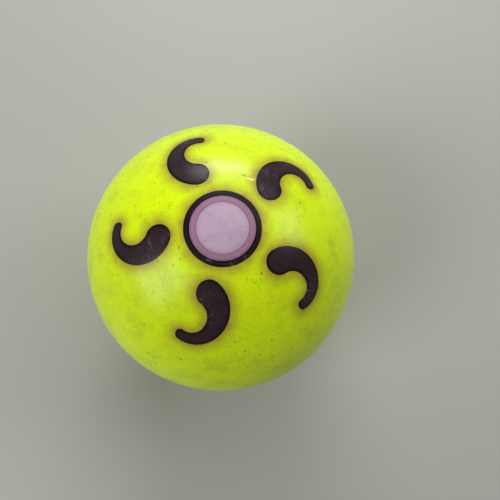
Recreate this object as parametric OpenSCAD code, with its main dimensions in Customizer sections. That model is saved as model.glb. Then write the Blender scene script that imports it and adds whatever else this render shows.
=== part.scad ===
// Hockey ball: a cork and rubber core inside two moulded cover cups.
// The cups lock with a tongue and groove, and a weld bead closes the seam.
// A generic pinwheel mark is printed in four inks round the pole of the front cup.
// Units are millimetres. The origin is the ball's centre, and +Z runs through the middle of the print.

/* [Ball] */
// Outside diameter of the ball
ball_d = 72.6; // [71.4:0.1:74.8]
// Wall of the cover cups
cover_t = 5; // [4.5:0.1:9]
// Gap between the core and the cover, which the adhesive fills
bond_gap = 0.1; // [0.05:0.05:0.3]

/* [Seam] */
// Width of the tongue that stands on the rim of the rear cup
tongue_w = 1.6; // [1:0.1:2]
// Height of the tongue above the rim
tongue_h = 2; // [1:0.1:4]
// Clearance of the tongue in its groove, on each side and at its top
tongue_gap = 0.1; // [0.05:0.05:0.3]
// Width of the weld bead at the ball's surface
weld_w = 1.2; // [0.6:0.1:2.4]
// Depth of the weld bead below the surface
weld_depth = 1; // [0.5:0.1:1.6]

/* [Print] */
// Thickness of each ink film
ink_t = 0.06; // [0.04:0.01:0.2]
// Radius of the pink disc at the middle of the print
disc_r = 5.6; // [4:0.1:6]
// Width of the mauve border round the disc
border_w = 1.5; // [0.8:0.1:2]
// Width of the dark keyline round the border
keyline_w = 1.3; // [0.8:0.1:1.8]
// Number of strokes round the disc
stroke_count = 5; // [3:1:6]
// Outside radius of a stroke's bend
stroke_r = 7.2; // [7:0.1:9]
// Width of a stroke at its head
head_w = 5.6; // [4:0.1:7]
// Width of a stroke at its tail
tail_w = 2.2; // [1:0.1:3]
// Distance from the keyline to the middle of a stroke's bend
stroke_reach = 9.6; // [9:0.1:12]
// Turn of each stroke about the middle of its bend
stroke_turn = 70; // [60:1:110]
// Turn of the whole print about its middle
print_turn = 18; // [0:1:72]
// Width of the orange halo round the dark marks
halo_w = 2.4; // [1:0.1:3]

/* [Hidden] */
$fn = 180;

ball_r = ball_d / 2;
bore_r = ball_r - cover_t;
core_r = bore_r - bond_gap;

// The tongue stands in the middle of the wall that the weld bead leaves
tongue_mid_r = (bore_r + ball_r - weld_depth) / 2;
groove_w = tongue_w + 2 * tongue_gap;
groove_h = tongue_h + tongue_gap;

// The bead's wedge opens at this rate, and its cutter runs past the surface by its own depth
weld_slope = weld_w / 2 / weld_depth;
wedge_l = 2 * weld_depth;

border_r = disc_r + border_w;
keyline_r = border_r + keyline_w;
bend_r = keyline_r + stroke_reach;

// A stroke is the space between two circles, one set off from the other towards the tail
stroke_inner_r = stroke_r - (head_w + tail_w) / 2;
stroke_offset = (head_w - tail_w) / 2;

// Half of space: above the seam for side 1, below it for side -1
module half_space(side) {
    translate([0, 0, side * ball_d]) cube(2 * ball_d, center = true);
}

// Ring of rectangular section round Z, standing on the seam and reaching the same depth below it
module rim_ring(width, height) {
    rotate_extrude() translate([tongue_mid_r - width / 2, -height]) square([width, 2 * height]);
}

// Ring of triangular section round Z, from the bottom of the weld to past the surface
module weld_wedge() {
    half_w = wedge_l * weld_slope;
    rotate_extrude()
        translate([ball_r - weld_depth, 0])
            polygon([[0, 0], [wedge_l, -half_w], [wedge_l, half_w]]);
}

// Hollow ball cut to one side of the seam
module half_shell(side) {
    intersection() {
        difference() {
            sphere(ball_r);
            sphere(bore_r);
        }
        half_space(side);
    }
}

module core() {
    color("peru") sphere(core_r);
}

module front_cup() {
    color("yellowgreen") difference() {
        half_shell(1);
        rim_ring(groove_w, groove_h);
        weld_wedge();
    }
}

module rear_cup() {
    color("yellowgreen") union() {
        difference() {
            half_shell(-1);
            weld_wedge();
        }
        rim_ring(tongue_w, tongue_h);
    }
}

module seam_weld() {
    color("olivedrab") intersection() {
        sphere(ball_r);
        weld_wedge();
    }
}

// Outline of one stroke lying along X, head on the left, all edges moved out by grow
module stroke_outline(grow) {
    span = 2 * (stroke_r + grow);
    intersection() {
        difference() {
            circle(stroke_r + grow);
            if (stroke_inner_r > grow)
                translate([stroke_offset, 0]) circle(stroke_inner_r - grow);
        }
        translate([-span / 2, 0]) square([span, span]);
    }
    translate([head_w / 2 - stroke_r, 0]) circle(head_w / 2 + grow);
    translate([stroke_r - tail_w / 2, 0]) circle(tail_w / 2 + grow);
}

// Outlines of all the strokes round the middle of the print
module strokes_outline(grow) {
    for (i = [0 : stroke_count - 1])
        rotate(print_turn + i * 360 / stroke_count)
            translate([0, bend_r])
                rotate(stroke_turn)
                    stroke_outline(grow);
}

// Flat ring in the plane of the print
module ring_outline(outer_r, inner_r) {
    difference() {
        circle(outer_r);
        circle(inner_r);
    }
}

// Ink film: an outline in the plane of the print, laid along Z onto the ball's surface
module ink_film() {
    intersection() {
        difference() {
            sphere(ball_r + ink_t);
            sphere(ball_r);
        }
        linear_extrude(ball_d) children();
    }
}

module print_halo() {
    color("darkorange") ink_film() difference() {
        union() {
            strokes_outline(halo_w);
            circle(keyline_r + halo_w);
        }
        strokes_outline(0);
        circle(keyline_r);
    }
}

module print_dark() {
    color("black") ink_film() {
        strokes_outline(0);
        ring_outline(keyline_r, border_r);
    }
}

module print_border() {
    color("mediumorchid") ink_film() ring_outline(border_r, disc_r);
}

module print_disc() {
    color("plum") ink_film() circle(disc_r);
}

core();
front_cup();
rear_cup();
seam_weld();
print_halo();
print_dark();
print_border();
print_disc();
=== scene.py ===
import math
import random

import bmesh
import bpy
import numpy as np
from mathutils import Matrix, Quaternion, Vector, geometry, kdtree, noise
from mathutils.bvhtree import BVHTree


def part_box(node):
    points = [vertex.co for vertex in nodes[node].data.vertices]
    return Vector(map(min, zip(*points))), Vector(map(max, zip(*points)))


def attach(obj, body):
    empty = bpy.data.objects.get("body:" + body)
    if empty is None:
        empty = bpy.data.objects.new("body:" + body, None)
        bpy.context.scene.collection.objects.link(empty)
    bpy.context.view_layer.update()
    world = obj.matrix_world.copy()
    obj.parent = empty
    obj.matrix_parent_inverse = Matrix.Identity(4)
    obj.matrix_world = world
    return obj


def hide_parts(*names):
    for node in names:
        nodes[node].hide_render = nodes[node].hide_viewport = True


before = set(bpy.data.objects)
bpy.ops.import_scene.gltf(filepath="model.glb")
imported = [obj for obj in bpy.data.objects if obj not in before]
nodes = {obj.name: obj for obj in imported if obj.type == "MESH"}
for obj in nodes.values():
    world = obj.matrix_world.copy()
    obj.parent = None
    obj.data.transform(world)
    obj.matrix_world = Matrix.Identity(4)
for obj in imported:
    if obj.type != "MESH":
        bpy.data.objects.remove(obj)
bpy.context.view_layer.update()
mm = 0.001
print("frame loaded:", ", ".join(sorted(nodes)))


# sizes of the ball, all read from its CAD nodes

def nodePoints(name):
    mesh = nodes[name].data
    flat = np.empty(3 * len(mesh.vertices), np.float32)
    mesh.vertices.foreach_get("co", flat)
    return flat.reshape(-1, 3).astype(float)


def readBall():
    near = 0.02 * mm  # a point this close to a face is on it
    front, rear, bead = (nodePoints(name) for name in ("front_cup", "rear_cup", "seam_weld"))
    fromMiddle, fromAxis = np.linalg.norm(front, axis=1), np.hypot(front[:, 0], front[:, 1])
    size = {"r": -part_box("rear_cup")[0].z, "boreR": fromMiddle.min()}
    size["weldHalf"] = bead[:, 2].max()
    size["weldBottom"] = np.hypot(bead[:, 0], bead[:, 1]).min()
    # the front cup's points between its bore, its skin and the weld are those of its groove
    groove = (fromMiddle > size["boreR"] + near) & (fromMiddle < size["r"] - near)
    groove &= fromAxis < size["weldBottom"] - near
    size["groove"] = fromAxis[groove].min(), fromAxis[groove].max(), front[groove, 2].max()
    tongue = rear[rear[:, 2] > near]
    tongueFromAxis = np.hypot(tongue[:, 0], tongue[:, 1])
    size["tongue"] = tongueFromAxis.min(), tongueFromAxis.max(), tongue[:, 2].max()
    size["ink"] = np.linalg.norm(nodePoints("print_disc"), axis=1).max() - size["r"]
    return size


ball = readBall()
print("ball across:", round(2 * ball["r"] / mm, 2), "mm, ink film:", round(ball["ink"] / mm, 3), "mm")


# tools for materials

mixShare, mixUnder, mixOver, mixed = 0, 6, 7, 2  # sockets of a Mix node that mixes colours


def srgb(hexColor):
    parts = [int(hexColor[i:i + 2], 16) / 255 for i in (1, 3, 5)]
    return tuple(p / 12.92 if p <= 0.04045 else ((p + 0.055) / 1.055) ** 2.4 for p in parts) + (1.0,)


def perMetre(sizeMm):
    return 1 / (sizeMm * mm)


def addNode(tree, kind, settings=None, links=None):
    # a setting is a socket's value where the node has such a socket, and otherwise the node's own
    node = tree.nodes.new(kind)
    for key, value in (settings or {}).items():
        if isinstance(key, int) or key in node.inputs:
            node.inputs[key].default_value = value
        else:
            setattr(node, key, value)
    for key, source in (links or {}).items():
        tree.links.new(source, node.inputs[key])
    return node


def newMaterial(name):
    material = bpy.data.materials.new(name)
    material.use_nodes = True
    tree = material.node_tree
    place = addNode(tree, "ShaderNodeTexCoord").outputs["Object"]
    return material, tree, tree.nodes["Principled BSDF"], place


def paintOver(tree, color, layers):
    # each layer is the share that it covers, and its tone
    for share, tone in layers:
        color = addNode(tree, "ShaderNodeMix", {"data_type": "RGBA", mixOver: srgb(tone)},
                        {mixShare: share, mixUnder: color}).outputs[mixed]
    return color


def rubLines(tree, place, rubs):
    # noise drawn out along one direction, as rubs and scratches run
    across, along = (size * mm for size in rubs["sizeMm"])
    drawn = addNode(tree, "ShaderNodeMapping",
                    {"vector_type": "TEXTURE", "Rotation": (0, 0, rubs["turn"]),
                     "Scale": (across, along, across)}, {"Vector": place}).outputs[0]
    return addNode(tree, "ShaderNodeTexNoise",
                   {"Scale": 1.0, "Detail": rubs["detail"], "Roughness": rubs["ragged"],
                    "Distortion": rubs["bend"]}, {"Vector": drawn}).outputs["Fac"]


def gritLayers(tree, place, grit):
    # grit pressed into a surface: ragged specks of many sizes, thicker in some patches than in others
    wobble = addNode(tree, "ShaderNodeTexNoise", {"Scale": perMetre(2 * grit["wobbleMm"])},
                     {"Vector": place})
    ragged = addNode(tree, "ShaderNodeVectorMath",
                     {"operation": "MULTIPLY_ADD", 1: [grit["wobbleMm"] * mm] * 3},
                     {0: wobble.outputs["Color"], 2: place}).outputs[0]
    patches = addNode(tree, "ShaderNodeTexNoise", {"Scale": perMetre(grit["patchMm"])},
                      {"Vector": place}).outputs["Fac"]
    thin, thick = grit["patchShows"]
    layers = []
    for speck in grit["specks"]:
        cell, reach = speck["cellMm"] * mm, speck["dotMm"] / speck["cellMm"]
        solid = 0.5 * reach  # a speck fades over the outer half of its reach
        drawn = addNode(tree, "ShaderNodeMapping",
                        {"vector_type": "TEXTURE", "Rotation": (0, 0, speck["turn"]),
                         "Scale": (cell, cell * speck["long"], cell)}, {"Vector": ragged}).outputs[0]
        cells = addNode(tree, "ShaderNodeTexVoronoi", {"Scale": 1.0}, {"Vector": drawn})
        # each cell's random colour sets the size of its speck
        size = addNode(tree, "ShaderNodeSeparateColor", None, {0: cells.outputs["Color"]}).outputs[0]
        ratio = addNode(tree, "ShaderNodeMath", {"operation": "DIVIDE"},
                        {0: cells.outputs["Distance"], 1: size}).outputs[0]
        share = addNode(tree, "ShaderNodeMapRange",
                        {"From Min": thin, "From Max": thick,
                         "To Min": grit["sparse"] * speck["share"], "To Max": speck["share"]},
                        {"Value": patches}).outputs[0]
        dots = addNode(tree, "ShaderNodeMapRange", {"From Min": solid, "From Max": reach, "To Max": 0.0},
                       {"Value": ratio, "To Min": share}).outputs[0]
        layers.append((dots, grit["tone"]))
    return layers


def finishShader(tree, shader, look, color, rough, normal):
    shader.inputs["IOR"].default_value = look["ior"]
    shader.inputs["Specular IOR Level"].default_value = look["gloss"]
    for socket, source in (("Base Color", color), ("Roughness", rough), ("Normal", normal)):
        tree.links.new(source, shader.inputs[socket])


# tools for meshes

skinFrom = 0.999  # a point past this share of the radius is on the skin


def pointTree(points):
    tree = kdtree.KDTree(len(points))
    for i, point in enumerate(points):
        tree.insert(point, i)
    tree.balance()
    return tree


def stitch(first, second):
    # faces between two rings of points, of which one may be a pole
    n, m = len(first), len(second)
    if n == m:
        return [(first[i], first[(i + 1) % n], second[(i + 1) % n], second[i]) for i in range(n)]
    faces, i, j = [], 0, 0
    stepsFirst, stepsSecond = (0 if n == 1 else n), (0 if m == 1 else m)  # a pole takes no steps
    while i < stepsFirst or j < stepsSecond:
        a, b = first[i % n], second[j % m]
        if j == stepsSecond or (i < stepsFirst and (i + 1) * m <= (j + 1) * n):
            i += 1
            faces.append((a, first[i % n], b))
        else:
            j += 1
            faces.append((a, second[j % m], b))
    return faces


def ringMesh(name, rings):
    # each ring is its radius, its height and how many points it has
    points, faces, last = [], [], None
    for rho, z, count in rings:
        turn = 2 * math.pi / count
        ring = range(len(points), len(points) + count)
        points += [(rho * math.cos(i * turn), rho * math.sin(i * turn), z) for i in range(count)]
        if last:
            faces += stitch(last, ring)
        last = ring
    mesh = bpy.data.meshes.new(name)
    mesh.from_pydata(points, [], faces)
    return mesh


def domeRings(radius, spacing, edgeZ, side):
    edge = math.acos(edgeZ / radius)
    steps = math.ceil(radius * edge / spacing)
    rings = [(0.0, side * radius, 1)]
    for k in range(1, steps + 1):
        polar = edge * k / steps
        count = 6 * k  # gives near-even triangles
        rings.append((radius * math.sin(polar), side * radius * math.cos(polar), count))
    return rings


def writeMesh(bm, mesh):
    bmesh.ops.recalc_face_normals(bm, faces=bm.faces)
    bm.to_mesh(mesh)
    bm.free()
    return mesh


def addPiece(name, mesh, material, replaced, sharpDegrees=35):
    mesh.shade_smooth()
    mesh.set_sharp_from_angle(angle=math.radians(sharpDegrees))
    piece = bpy.data.objects.new(name, mesh)
    bpy.context.scene.collection.objects.link(piece)
    mesh.materials.append(material)
    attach(piece, "root")
    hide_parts(replaced)
    print(name, "made:", len(mesh.vertices), "points,", len(mesh.polygons), "faces")


# cover cups: rings round Z, stitched from the outer pole over the rim to the pole of the bore

cover = {
    "spacingMm": 0.5, "boreSpacingMm": 2.5, "rimPoints": 192,
    # the skin rolls down to the weld, and the hollow beside it holds some dirt
    "roll": {"wideMm": 0.6, "deepMm": 0.1, "ringsMm": (0.38, 0.27, 0.17, 0.08),
             "dirtAndShade": 0.45, "dirtMm": 5},
    "look": {
        "deep": "#c4dc00", "bright": "#d5ed08",  # neon pigment, a little uneven
        "tint": "#9b8428",                       # orange sprayed round the dark ink
        "torn": "#f6f2a6",                       # fresh PVC where the skin is torn
        "cloud": {"sizeMm": 11, "detail": 3, "ragged": 0.5},
        # dulled skin, dirt rubbed in, and pores drawn coarser than real ones so that they show;
        # each tone comes in, up to its most, as the noise rises through the range where it shows
        "mottle": {"sizeMm": 1.6, "detail": 5, "ragged": 0.65,
                   "tone": "#aebe1c", "shows": (0.42, 0.72), "most": 0.22},
        "smudge": {"sizeMm": 4.5, "detail": 9, "ragged": 0.72,
                   "tone": "#8f9a1c", "shows": (0.5, 0.75), "most": 0.55},
        "pore": {"sizeMm": 0.5, "detail": 1, "ragged": 0.5,
                 "tone": "#8f9a1c", "shows": (0.4, 0.8), "most": 0.22},
        "grit": {"tone": "#4e5a02", "wobbleMm": 0.25,
                 "patchMm": 17, "patchShows": (0.35, 0.6), "sparse": 0.3,
                 "specks": ({"cellMm": 1.6, "dotMm": 0.34, "long": 1.9, "turn": 0.2, "share": 0.65},
                            {"cellMm": 0.8, "dotMm": 0.2, "long": 1.5, "turn": -0.3, "share": 0.5},
                            {"cellMm": 0.8, "dotMm": 0.3, "long": 1.6, "turn": 0.6, "share": 0.16})},
        # fine rubs that break up the gloss
        "rubs": {"sizeMm": (0.35, 2.6), "turn": 0.25, "detail": 5, "ragged": 0.65, "bend": 0.0,
                 "shows": (0.38, 0.62)},
        # the moulded skin's slow waves, and its grain, drawn coarser than the real one so that it shows
        "peel": {"sizeMm": 2.4, "detail": 2, "ragged": 0.5, "heightMm": 0.02},
        "grain": {"sizeMm": 0.6, "detail": 4, "ragged": 0.5, "heightMm": 0.01},
        "rough": (0.16, 0.39), "ior": 1.53, "gloss": 0.16,
    },
}


def wornPvc(name, look):
    # PVC moulded in a polished tool and scuffed in play: a saturated neon skin with a broad soft gloss
    material, tree, shader, place = newMaterial(name)
    noises = {}
    for key in ("cloud", "mottle", "smudge", "pore", "peel", "grain"):
        spec = look[key]
        noises[key] = addNode(tree, "ShaderNodeTexNoise",
                              {"Scale": perMetre(spec["sizeMm"]), "Detail": spec["detail"],
                               "Roughness": spec["ragged"]}, {"Vector": place}).outputs["Fac"]
    marked = {key: addNode(tree, "ShaderNodeAttribute", {"attribute_name": key}).outputs["Fac"]
              for key in ("tint", "dirtAndShade", "torn")}
    layers = [(marked["tint"], look["tint"])]
    for key in ("mottle", "smudge", "pore"):
        low, high = look[key]["shows"]
        stain = addNode(tree, "ShaderNodeMapRange",
                        {"From Min": low, "From Max": high, "To Max": look[key]["most"]},
                        {"Value": noises[key]}).outputs[0]
        layers.append((stain, look[key]["tone"]))
    layers += gritLayers(tree, place, look["grit"])
    # this layer darkens real dirt in pits, gouges and the weld's hollow, and paints shade in the nick's
    # hollow
    layers += [(marked["dirtAndShade"], look["grit"]["tone"]), (marked["torn"], look["torn"])]
    pigment = addNode(tree, "ShaderNodeMix",
                      {"data_type": "RGBA", mixUnder: srgb(look["deep"]), mixOver: srgb(look["bright"])},
                      {mixShare: noises["cloud"]}).outputs[mixed]
    color = paintOver(tree, pigment, layers)
    (low, high), (smooth, dull) = look["rubs"]["shows"], look["rough"]
    rough = addNode(tree, "ShaderNodeMapRange",
                    {"From Min": low, "From Max": high, "To Min": smooth, "To Max": dull},
                    {"Value": rubLines(tree, place, look["rubs"])}).outputs[0]
    peel = addNode(tree, "ShaderNodeBump", {"Distance": look["peel"]["heightMm"] * mm},
                   {"Height": noises["peel"]}).outputs[0]
    grain = addNode(tree, "ShaderNodeBump", {"Distance": look["grain"]["heightMm"] * mm},
                    {"Height": noises["grain"], "Normal": peel}).outputs[0]
    finishShader(tree, shader, look, color, rough, grain)
    return material


def cupRings(side):
    rings = domeRings(ball["r"], cover["spacingMm"] * mm, ball["weldHalf"], side)
    edge = rings.pop()
    for offset in cover["roll"]["ringsMm"]:
        z = ball["weldHalf"] + offset * mm
        rings.append((math.sqrt(ball["r"] ** 2 - z * z), side * z, edge[2]))
    rings += [edge, (ball["weldBottom"], 0.0, edge[2])]
    low, high, height = ball["groove"] if side > 0 else ball["tongue"]
    rim = cover["rimPoints"]
    rings += [(high, 0.0, rim), (high, height, rim), (low, height, rim), (low, 0.0, rim)]
    return rings + domeRings(ball["boreR"], cover["boreSpacingMm"] * mm, 0.0, side)[::-1]


nick = {
    # a tear in the skin: tilt is from +Z, turn is round Z from +X, and heading is its length's in plan
    "tilt": 21, "turn": 64, "heading": -22,
    # each path runs from left to right, as (along, across, radius)
    # the hollow's darkening is dirt and also painted shade under the lifted lip
    "hollow": {"depthMm": 0.14, "dirtAndShade": 0.5, "torn": 0.0,
               "pathMm": ((-1.45, 0.1, 0.25), (-0.5, 0.2, 0.4), (0.6, 0.4, 0.3))},
    "lip": {"depthMm": -0.06, "dirtAndShade": 0.0, "torn": 1.0,
            "pathMm": ((-1.3, 0.0, 0.12), (-0.3, -0.15, 0.22), (0.6, -0.03, 0.3), (1.15, 0.03, 0.26))},
}


def wearSite(path, spec, depth):
    # path is a list of (point, radius) on the ball
    points = [point for point, radius in path]
    at = sum(points, Vector()) / len(points)
    reach = max((point - at).length + radius for point, radius in path)
    return {"path": path, "at": at, "reach": reach,
            "depth": depth, "dirtAndShade": spec["dirtAndShade"], "torn": spec["torn"]}


def nickSites():
    tilt, turn, heading = (math.radians(nick[key]) for key in ("tilt", "turn", "heading"))
    up = Vector((math.sin(tilt) * math.cos(turn), math.sin(tilt) * math.sin(turn), math.cos(tilt)))
    along = Vector((math.cos(heading), math.sin(heading), 0)).cross(up).cross(-up).normalized()
    across = up.cross(along)
    sites = []
    for key in ("hollow", "lip"):
        path = [((up * ball["r"] + (along * u + across * v) * mm).normalized() * ball["r"], radius * mm)
                for u, v, radius in nick[key]["pathMm"]]
        sites.append(wearSite(path, nick[key], nick[key]["depthMm"] * mm))
    return sites


wear = {
    # the radius, depth and half length of each mark are drawn from these ranges
    "pits": {"count": 150, "radiusMm": (0.16, 0.42), "depthMm": (0.03, 0.07), "halfMm": (0, 0),
             "dirtAndShade": 0.9, "torn": 0.0},
    "dings": {"count": 26, "radiusMm": (0.6, 1.3), "depthMm": (0.02, 0.05), "halfMm": (0, 0),
              "dirtAndShade": 0.0, "torn": 0.0},
    "gouges": {"count": 7, "radiusMm": (0.14, 0.24), "depthMm": (0.05, 0.09), "halfMm": (0.5, 1.2),
               "dirtAndShade": 0.4, "torn": 0.0},
    "seed": 7, "clearMm": 0.4,  # marks stay this clear of the print and the weld
    "cuts": 3,                  # how finely the skin is cut under a mark
}


def inkArea():
    points, faces = [], []
    for name in ("print_halo", "print_dark", "print_border", "print_disc"):
        mesh = nodes[name].data
        start = len(points)
        points += [(v.co.x, v.co.y, 0.0) for v in mesh.vertices]
        faces += [tuple(start + i for i in p.vertices) for p in mesh.polygons]
    return BVHTree.FromPolygons(points, faces)


def wearSites():
    draw, inked, sites = random.Random(wear["seed"]), inkArea(), nickSites()
    for kind in ("pits", "dings", "gouges"):
        spec, made = wear[kind], 0
        while made < spec["count"]:
            up = Vector([draw.gauss(0, 1) for axis in range(3)]).normalized()
            along = Quaternion(up, draw.uniform(0, math.pi)) @ up.orthogonal().normalized()
            radius, depth, half = (draw.uniform(*spec[key]) * mm
                                   for key in ("radiusMm", "depthMm", "halfMm"))
            at, reach = up * ball["r"], radius + half + wear["clearMm"] * mm
            onInk = up.z > 0 and inked.find_nearest((at.x, at.y, 0.0))[3] < reach
            if not onInk and abs(at.z) > ball["weldHalf"] + reach:
                path = [(at - along * half, radius), (at + along * half, radius)]
                sites.append(wearSite(path, spec, depth))
                made += 1
    return sites


def siteShare(site, point):
    # 1 in the middle of a mark, 0 at its edge
    nearest = 1.0
    for (start, startR), (end, endR) in zip(site["path"], site["path"][1:]):
        span = end - start
        share = 0.0
        if span.length_squared > 0:
            share = min(max((point - start).dot(span) / span.length_squared, 0.0), 1.0)
        away = (point - start - span * share).length
        nearest = min(nearest, away / (startR + (endR - startR) * share))
    return (1 - nearest ** 2) ** 2


def skinPoints(bm):
    return [v for v in bm.verts if v.co.length > skinFrom * ball["r"]]


def cutSkin(bm, sites):
    # finer faces under the marks, laid back on the ball
    skin = skinPoints(bm)
    tree = pointTree([v.co for v in skin])
    close = set()
    for site in sites:
        for _, i, _ in tree.find_range(site["at"], site["reach"] + cover["spacingMm"] * mm):
            close.update(skin[i].link_edges)
    edges = sorted(close, key=lambda edge: edge.index)
    bmesh.ops.subdivide_edges(bm, edges=edges, cuts=wear["cuts"], use_grid_fill=True)
    bmesh.ops.triangulate(bm, faces=[f for f in bm.faces if len(f.verts) > 4])
    for v in skinPoints(bm):
        v.co = v.co.normalized() * ball["r"]


def wornCup(name, side, sites):
    mesh = ringMesh(name, cupRings(side))
    bm = bmesh.new()
    bm.from_mesh(mesh)
    dirtAndShade, torn = (bm.verts.layers.float.new(key) for key in ("dirtAndShade", "torn"))
    cutSkin(bm, sites)
    skin = skinPoints(bm)
    tree = pointTree([v.co for v in skin])
    for site in sites:
        for co, i, _ in tree.find_range(site["at"], site["reach"]):
            share, v = siteShare(site, co), skin[i]
            v.co -= co.normalized() * site["depth"] * share
            # a mark's dirt value darkens it; in the nick's hollow this darkening is painted shade as
            # well as dirt
            v[dirtAndShade] = max(v[dirtAndShade], site["dirtAndShade"] * share)
            v[torn] = max(v[torn], site["torn"] * share)
    roll = cover["roll"]
    for v in skin:
        share = 1 - (abs(v.co.z) - ball["weldHalf"]) / (roll["wideMm"] * mm)
        if share > 0:
            # the noise runs from -1 to 1, so some stretches of the hollow stay clean
            held = min(1.0, max(0.0, 0.5 + noise.noise(v.co / (roll["dirtMm"] * mm))))
            v[dirtAndShade] = max(v[dirtAndShade], roll["dirtAndShade"] * share * held)
            v.co -= v.co.normalized() * roll["deepMm"] * mm * share ** 2
    return writeMesh(bm, mesh)


sites = wearSites()
print("wear drawn:", len(sites), "marks")
coverPvc = wornPvc("PVC, moulded and scuffed", cover["look"])
frontMesh = wornCup("front_cover", 1, sites)
addPiece("front_cover", frontMesh, coverPvc, "front_cup")
addPiece("rear_cover", wornCup("rear_cover", -1, sites), coverPvc, "rear_cup")


# weld bead: the cover's PVC, but duller and rougher, so that the seam shows as a fine line

weld = {
    "points": 720, "acrossSteps": 6, "sinkMm": 0.05, "joinMm": 0.001,
    "rippleMm": 0.02, "rippleLengthMm": 1.6,
    "rippleTo": 0.9,  # the ripple stops short of the bead's edges
    "look": {
        **cover["look"],
        "deep": "#afc600", "bright": "#bdd404",
        "mottle": {**cover["look"]["mottle"], "sizeMm": 0.9,
                   "tone": "#98a71c", "shows": (0.4, 0.7), "most": 0.5},
        "grain": {**cover["look"]["grain"], "heightMm": 0.05},
        "rough": (0.36, 0.55),
    },
}


def weldBead(name):
    beadR = ball["r"] - weld["sinkMm"] * mm
    outer = []
    for i in range(weld["acrossSteps"] + 1):
        z = ball["weldHalf"] * (1 - 2 * i / weld["acrossSteps"])
        outer.append((math.sqrt(beadR ** 2 - z * z), z, weld["points"]))
    mesh = ringMesh(name, outer + [(ball["weldBottom"], 0.0, weld["points"])] + outer[:1])
    bm = bmesh.new()
    bm.from_mesh(mesh)
    bmesh.ops.remove_doubles(bm, verts=bm.verts, dist=weld["joinMm"] * mm)
    for v in bm.verts:
        if abs(v.co.z) < weld["rippleTo"] * ball["weldHalf"] and v.co.length > skinFrom * beadR:
            ripple = noise.noise(v.co / (weld["rippleLengthMm"] * mm))
            v.co *= 1 + weld["rippleMm"] * mm / ball["r"] * ripple
    return writeMesh(bm, mesh)


weldPvc = wornPvc("PVC, hot welded and ground flush", weld["look"])
addPiece("weld_bead", weldBead("weld_bead"), weldPvc, "seam_weld")


# core: the CAD ball keeps its shape

core = {
    "granules": ("#5b3d22", "#c08a52"), "granuleMm": 3, "binder": "#2a2320", "binderMm": 0.35,
    "reliefMm": 0.1, "rough": 0.85,
}


def corkRubber():
    # cork granules moulded in a rubber binder: matte tan grains with dark lines between them
    material, tree, shader, place = newMaterial("cork and rubber, moulded")
    scale = perMetre(core["granuleMm"])
    grains = addNode(tree, "ShaderNodeTexVoronoi", {"Scale": scale}, {"Vector": place})
    edges = addNode(tree, "ShaderNodeTexVoronoi", {"feature": "DISTANCE_TO_EDGE", "Scale": scale},
                    {"Vector": place}).outputs["Distance"]
    tone = addNode(tree, "ShaderNodeSeparateColor", None, {0: grains.outputs["Color"]}).outputs[0]
    dark, light = (srgb(color) for color in core["granules"])
    cork = addNode(tree, "ShaderNodeMix", {"data_type": "RGBA", mixUnder: dark, mixOver: light},
                   {mixShare: tone}).outputs[mixed]
    binder = addNode(tree, "ShaderNodeMapRange",
                     {"From Max": core["binderMm"] / core["granuleMm"], "To Min": 1.0, "To Max": 0.0},
                     {"Value": edges}).outputs[0]
    bump = addNode(tree, "ShaderNodeBump", {"Distance": core["reliefMm"] * mm},
                   {"Height": edges}).outputs[0]
    shader.inputs["Roughness"].default_value = core["rough"]
    tree.links.new(paintOver(tree, cork, [(binder, core["binder"])]), shader.inputs["Base Color"])
    tree.links.new(bump, shader.inputs["Normal"])
    return material


nodes["core"].data.materials.clear()
nodes["core"].data.materials.append(corkRubber())
print("core dressed")


# ink films: the CAD outline in plan, filled with an even net of points and laid on the ball

planDigits = 5      # plan points are in mm, rounded to so many digits
onPlanMm = 1e-5     # a point this close to a film's plan is inside it
samePointMm = 1e-6


def topSheet(nodeName):
    # the outline of a film's top in plan, and a tree of its faces
    mesh = nodes[nodeName].data
    middle = ball["r"] + ball["ink"] / 2
    places = [(round(v.co.x / mm, planDigits), round(v.co.y / mm, planDigits)) for v in mesh.vertices]
    high = [v.co.length > middle for v in mesh.vertices]
    top = [tuple(p.vertices) for p in mesh.polygons if all(high[i] for i in p.vertices)]
    uses = {}
    for corners in top:
        for a, b in zip(corners, corners[1:] + corners[:1]):
            if places[a] != places[b]:
                pair = frozenset((places[a], places[b]))
                uses[pair] = uses.get(pair, 0) + 1
    outline = [tuple(pair) for pair, count in uses.items() if count == 1]
    return outline, BVHTree.FromPolygons([(x, y, 0.0) for x, y in places], top)


def onBall(x, y, lift=0.0):
    # a plan point in mm, laid on the ball and lifted by metres
    inkR = ball["r"] + ball["ink"]
    z = math.sqrt(inkR ** 2 - (x * x + y * y) * mm * mm)
    return Vector((x * mm, y * mm, z)) * (ball["r"] + lift) / inkR


def outlineTree(outline, stepMm=0.08):
    samples = []
    for (ax, ay), (bx, by) in outline:
        count = max(1, math.ceil(math.hypot(bx - ax, by - ay) / stepMm))
        samples += [onBall(ax + (bx - ax) * i / count, ay + (by - ay) * i / count)
                    for i in range(count + 1)]
    return pointTree(samples)


def netPoints(outline, area, edge, stepMm):
    corners = np.array([end for side in outline for end in side])
    (lowX, lowY), (highX, highY) = corners.min(0), corners.max(0)
    rowStep = stepMm * math.sqrt(3) / 2
    clear = 0.45 * stepMm * mm  # nearly half a step, so that no triangle at the edge is a sliver
    found = []
    for row in range(int((highY - lowY) / rowStep) + 1):
        y = lowY + row * rowStep
        for column in range(int((highX - lowX) / stepMm) + 2):
            x = lowX + (column - 0.5 * (row % 2)) * stepMm
            inside = area.find_nearest((x, y, 0.0))[3] < onPlanMm
            if inside and edge.find(onBall(x, y))[2] > clear:
                found.append((x, y))
    return found


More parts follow.
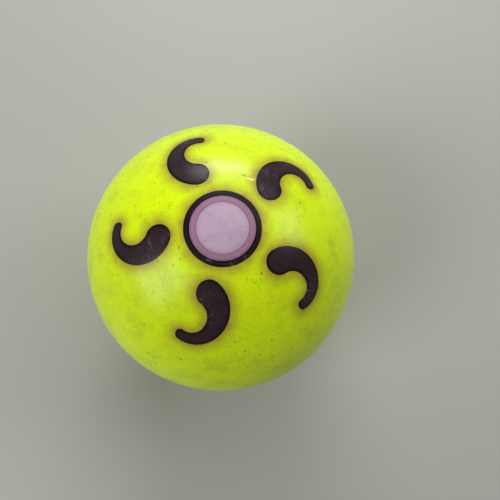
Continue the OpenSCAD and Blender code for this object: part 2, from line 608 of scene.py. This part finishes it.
def filledOutline(nodeName, stepMm):
    # plan points, the triangles between them, and how far each point lies from the outline
    outline, area = topSheet(nodeName)
    edge = outlineTree(outline)
    rim = sorted({end for side in outline for end in side})
    index = {point: i for i, point in enumerate(rim)}
    points = [Vector(p) for p in rim + netPoints(outline, area, edge, stepMm)]
    sides = [(index[a], index[b]) for a, b in outline]
    filled = geometry.delaunay_2d_cdt(points, sides, [], 0, samePointMm)
    flat, triangles = filled[0], []
    for t in filled[2]:
        middle = sum((flat[i] for i in t), Vector((0, 0))) / 3
        if area.find_nearest((middle.x, middle.y, 0.0))[3] < onPlanMm:
            triangles.append(tuple(t))
    return flat, triangles, [edge.find(onBall(p.x, p.y))[2] for p in flat]


def filmMesh(name, nodeName, film, markName, markShare):
    # a closed film that thins towards its edge, with its underside sunk into the cover
    flat, triangles, inset = filledOutline(nodeName, film["netMm"])
    low, high = (ball["ink"] * share for share in film["lift"])
    lifts = [low + (high - low) * min(1, d / (film["easeMm"] * mm)) for d in inset]
    top = [onBall(p.x, p.y, lift) for p, lift in zip(flat, lifts)]
    under = [onBall(p.x, p.y, -film["sinkMm"] * mm) for p in flat]
    count = len(flat)
    ways = {(a, b) for t in triangles for a, b in zip(t, t[1:] + t[:1])}
    walls = [(b, a, a + count, b + count) for a, b in sorted(ways) if (b, a) not in ways]
    faces = triangles + [tuple(i + count for i in reversed(t)) for t in triangles] + walls
    mesh = bpy.data.meshes.new(name)
    mesh.from_pydata(top + under, [], faces)
    shares = [markShare(p, d) for p, d in zip(top, inset)]
    mesh.attributes.new(markName, "FLOAT", "POINT").data.foreach_set("value", shares + shares)
    bm = bmesh.new()
    bm.from_mesh(mesh)
    bmesh.ops.delete(bm, geom=[v for v in bm.verts if not v.link_faces], context="VERTS")
    return writeMesh(bm, mesh)


inkFilm = {
    # shape, of which lift is a share of the CAD film's thickness at the edge and inside
    "netMm": 0.4, "sinkMm": 0.02, "lift": (0.4, 1.0), "easeMm": 0.3,
    "poolMm": (0.25, 0.75),  # ink pools from its edge to the first, and is even past the second
    # look
    "blotMm": 2.2, "blotShows": (0.46, 0.7),
    "rubbedMm": 5, "rubbedShows": (0.52, 0.68),  # patches that are scratched
    "scratches": {"sizeMm": (0.35, 2.2), "turn": 0.4, "detail": 7, "ragged": 0.7, "bend": 0.8},
    "scratchShows": (0.55, 0.7), "sheenShows": (0.3, 0.75),
    "grainMm": 0.55, "grainHeightMm": 0.03,
    "grit": {"tone": "#3a2f36", "wobbleMm": 0.25, "patchMm": 9, "patchShows": (0.35, 0.6), "sparse": 0.3,
             "specks": ({"cellMm": 1.7, "dotMm": 0.3, "long": 1.5, "turn": 0.2, "share": 0.5},)},
    "ior": 1.5, "gloss": 0.2,
}
inks = {
    "dark_print": {"node": "print_dark", "slot": "ink_dark", "material": "dark ink, pad printed",
                   "deep": "#1f1316", "bright": "#342327", "edge": "#040202", "cloudMm": 5, "gloss": 0.1,
                   "blotted": "#1a1518", "blot": 0.4,
                   "scratched": "#9a939a", "scratch": 0.7, "rough": (0.2, 0.38)},
    "mauve_print": {"node": "print_border", "slot": "ink_mauve", "material": "mauve ink, pad printed",
                    "deep": "#8c667b", "bright": "#9a7488", "edge": "#845d72", "cloudMm": 4,
                    "blotted": "#7b5a70", "blot": 0.4,
                    "scratched": "#c9b6c4", "scratch": 0.5, "rough": (0.28, 0.44)},
    "pink_print": {"node": "print_disc", "slot": "ink_pink", "material": "pink ink, pad printed",
                   "deep": "#a78d9d", "bright": "#b399a7", "edge": "#a28797", "cloudMm": 4,
                   "blotted": "#8f7b90", "blot": 0.5,
                   "scratched": "#8a7085", "scratch": 0.5, "rough": (0.28, 0.44)},
}


def padInk(look):
    # pad-printed ink: a thin satin film, darker where it pools at its edge, blotchy and finely scratched
    material, tree, shader, place = newMaterial(look["material"])
    noises = {}
    for size, detail in (("cloudMm", 6), ("blotMm", 5), ("rubbedMm", 3), ("grainMm", 4)):
        noises[size] = addNode(tree, "ShaderNodeTexNoise",
                               {"Scale": perMetre(look[size]), "Detail": detail},
                               {"Vector": place}).outputs["Fac"]
    pool = addNode(tree, "ShaderNodeAttribute", {"attribute_name": "pool"}).outputs["Fac"]
    low, high = look["blotShows"]
    blot = addNode(tree, "ShaderNodeMapRange",
                   {"From Min": low, "From Max": high, "To Max": look["blot"]},
                   {"Value": noises["blotMm"]}).outputs[0]
    low, high = look["rubbedShows"]
    rubbed = addNode(tree, "ShaderNodeMapRange",
                     {"From Min": low, "From Max": high, "To Max": look["scratch"]},
                     {"Value": noises["rubbedMm"]}).outputs[0]
    lines = rubLines(tree, place, look["scratches"])
    low, high = look["scratchShows"]
    scratch = addNode(tree, "ShaderNodeMapRange", {"From Min": low, "From Max": high},
                      {"Value": lines, "To Max": rubbed}).outputs[0]
    layers = [(blot, look["blotted"]), (pool, look["edge"]), (scratch, look["scratched"])]
    layers += gritLayers(tree, place, look["grit"])
    pigment = addNode(tree, "ShaderNodeMix",
                      {"data_type": "RGBA", mixUnder: srgb(look["deep"]), mixOver: srgb(look["bright"])},
                      {mixShare: noises["cloudMm"]}).outputs[mixed]
    color = paintOver(tree, pigment, layers)
    (low, high), (smooth, dull) = look["sheenShows"], look["rough"]
    rough = addNode(tree, "ShaderNodeMapRange",
                    {"From Min": low, "From Max": high, "To Min": smooth, "To Max": dull},
                    {"Value": lines}).outputs[0]
    bump = addNode(tree, "ShaderNodeBump", {"Distance": look["grainHeightMm"] * mm},
                   {"Height": noises["grainMm"]}).outputs[0]
    finishShader(tree, shader, look, color, rough, bump)
    return material


def inkPool(inset):
    full, gone = (size * mm for size in inkFilm["poolMm"])
    return min(1.0, max(0.0, (gone - inset) / (gone - full)))


for name, ink in inks.items():
    mesh = filmMesh(name, ink["node"], inkFilm, "pool", lambda point, inset: inkPool(inset))
    addPiece(name, mesh, padInk({**inkFilm, **ink}), ink["node"])


# halo: orange sprayed thinly over the cover, a soft scorched edge round the dark ink

halo = {
    "netMm": 0.45, "sinkMm": 0.02, "lift": (0.0, 0.1), "easeMm": 0.8,
    "reachMm": 3.3, "fall": 1.3,     # the tint fades out over its reach
    "sprayMm": 1.8, "spray": 0.3,    # and is a little uneven
}
darkEdge = outlineTree(topSheet("print_dark")[0])


def tintShare(point):
    near = max(0.0, 1 - darkEdge.find(point)[2] / (halo["reachMm"] * mm))
    spray = 1 + halo["spray"] * noise.noise(point / (halo["sprayMm"] * mm))
    return min(1.0, near ** halo["fall"] * spray)


haloMesh = filmMesh("halo_print", "print_halo", halo, "tint", lambda point, inset: tintShare(point))
tintedPvc = wornPvc("orange tint sprayed on PVC", cover["look"])
addPiece("halo_print", haloMesh, tintedPvc, "print_halo")
# the last mist of the tint settles on the cover past the film
mist = frontMesh.attributes.new("tint", "FLOAT", "POINT")
mist.data.foreach_set("value", [tintShare(v.co) for v in frontMesh.vertices])
print("mist settled on the front cover")


# stage, light and camera

stage = {"floor": "#9a998d", "sizeM": 6.0, "rough": 0.6, "backdrop": "#c6c7c0", "sweepM": (0.17, 0.6)}


def backdropRays(tree):
    # rays that see the backdrop: the camera's own, and those mirrored or bent by a surface
    path = addNode(tree, "ShaderNodeLightPath").outputs
    seen = path["Is Camera Ray"]
    for kind in ("Is Glossy Ray", "Is Transmission Ray"):
        seen = addNode(tree, "ShaderNodeMath", {"operation": "MAXIMUM"},
                       {0: seen, 1: path[kind]}).outputs[0]
    return seen


def paleFloor():
    # painted board: even, pale and matte, and seen to sweep up into the backdrop away from the ball
    material, tree, shader, place = newMaterial("painted board, matte")
    shader.inputs["Base Color"].default_value = srgb(stage["floor"])
    shader.inputs["Roughness"].default_value = stage["rough"]
    away = addNode(tree, "ShaderNodeVectorMath", {"operation": "LENGTH"}, {0: place}).outputs["Value"]
    near, far = stage["sweepM"]
    sweep = addNode(tree, "ShaderNodeMapRange",
                    {"interpolation_type": "SMOOTHSTEP", "From Min": near, "From Max": far},
                    {"Value": away, "To Max": backdropRays(tree)}).outputs[0]
    backdrop = addNode(tree, "ShaderNodeEmission", {"Color": srgb(stage["backdrop"])})
    surface = addNode(tree, "ShaderNodeMixShader", None,
                      {0: sweep, 1: shader.outputs[0], 2: backdrop.outputs[0]})
    tree.links.new(surface.outputs[0], tree.nodes["Material Output"].inputs["Surface"])
    half = stage["sizeM"] / 2
    mesh = bpy.data.meshes.new("floor")
    corners = [(-half, -half, 0), (half, -half, 0), (half, half, 0), (-half, half, 0)]
    mesh.from_pydata(corners, [], [(0, 1, 2, 3)])
    mesh.materials.append(material)
    floor = bpy.data.objects.new("floor", mesh)
    floor.location.z = -ball["r"]
    bpy.context.scene.collection.objects.link(floor)


lamps = {
    # azimuth turns from +X towards +Y, as seen from above, and away is in metres; wide and high are
    # the angles that the ball sees, and glow is how bright the lamp itself looks, where 1 is white
    "window": {"azimuth": 92, "elevation": 25, "away": 0.6, "wide": 34, "high": 9,
               "glow": 22.8, "color": "#eff4ff"},
    "softbox": {"azimuth": 72, "elevation": 50, "away": 0.5, "wide": 50, "high": 40,
                "glow": 2.05, "color": "#ffffff"},
    "left_lamp": {"azimuth": 206, "elevation": 35, "away": 0.6, "wide": 28, "high": 36,
                  "glow": 7.6, "color": "#f0f5ff"},
    "right_lamp": {"azimuth": 19, "elevation": 35, "away": 0.8, "wide": 25, "high": 25,
                   "glow": 5.8, "color": "#f0f5ff"},
}
room = {"color": "#fff8e8", "level": 0.12}


def aimed(spec):
    turn, rise = math.radians(spec["azimuth"]), math.radians(spec["elevation"])
    return Vector((math.cos(rise) * math.cos(turn), math.cos(rise) * math.sin(turn), math.sin(rise)))


def addLamp(name, spec):
    light = bpy.data.lights.new(name, "AREA")
    light.shape = "RECTANGLE"
    wide, high = (2 * spec["away"] * math.tan(math.radians(spec[key]) / 2) for key in ("wide", "high"))
    light.size, light.size_y = wide, high
    light.energy = spec["glow"] * math.pi * wide * high
    light.color = srgb(spec["color"])[:3]
    lamp = bpy.data.objects.new(name, light)
    lamp.location = aimed(spec) * spec["away"]
    lamp.rotation_euler = aimed(spec).to_track_quat("Z", "Y").to_euler()
    bpy.context.scene.collection.objects.link(lamp)


def lightRoom():
    # a little soft light from all round, so that no side goes black
    world = bpy.data.worlds.new("room")
    world.use_nodes = True
    tree = world.node_tree
    light = addNode(tree, "ShaderNodeBackground",
                    {"Color": srgb(room["color"]), "Strength": room["level"]})
    backdrop = addNode(tree, "ShaderNodeBackground", {"Color": srgb(stage["backdrop"])})
    both = addNode(tree, "ShaderNodeMixShader", None,
                   {0: backdropRays(tree), 1: light.outputs[0], 2: backdrop.outputs[0]})
    tree.links.new(both.outputs[0], tree.nodes["World Output"].inputs["Surface"])
    bpy.context.scene.world = world
    for name, spec in lamps.items():
        addLamp(name, spec)


shot = {
    "imagePx": 500, "focalPx": 500, "sensorMm": 36, "nearMm": 5, "elevation": 80,
    "ballPx": (220.7, 257.6), "ballRadiusPx": 133,  # where the photograph shows the ball
}


def addCamera():
    data = bpy.data.cameras.new("camera")
    data.sensor_width = shot["sensorMm"]
    data.lens = shot["sensorMm"] * shot["focalPx"] / shot["imagePx"]
    data.clip_start = shot["nearMm"] * mm
    camera = bpy.data.objects.new("camera", data)
    rise = math.radians(shot["elevation"])
    back = Vector((0, -math.cos(rise), math.sin(rise)))
    half = math.atan(shot["ballRadiusPx"] / shot["focalPx"])
    camera.location = back * ball["r"] / math.sin(half)
    # a ball off the lens axis shows a little further out than its own centre does
    offX, offY = ((p - shot["imagePx"] / 2) * math.cos(half) ** 2 for p in shot["ballPx"])
    turn = Vector((0, 0, -1)).rotation_difference(Vector((offX, -offY, -shot["focalPx"])))
    camera.rotation_mode = "QUATERNION"
    camera.rotation_quaternion = back.to_track_quat("Z", "Y") @ turn.inverted()
    bpy.context.scene.collection.objects.link(camera)
    bpy.context.scene.camera = camera


paleFloor()
lightRoom()
addCamera()
bpy.context.scene.view_settings.view_transform = "Standard"
print("stage, lamps and camera set")
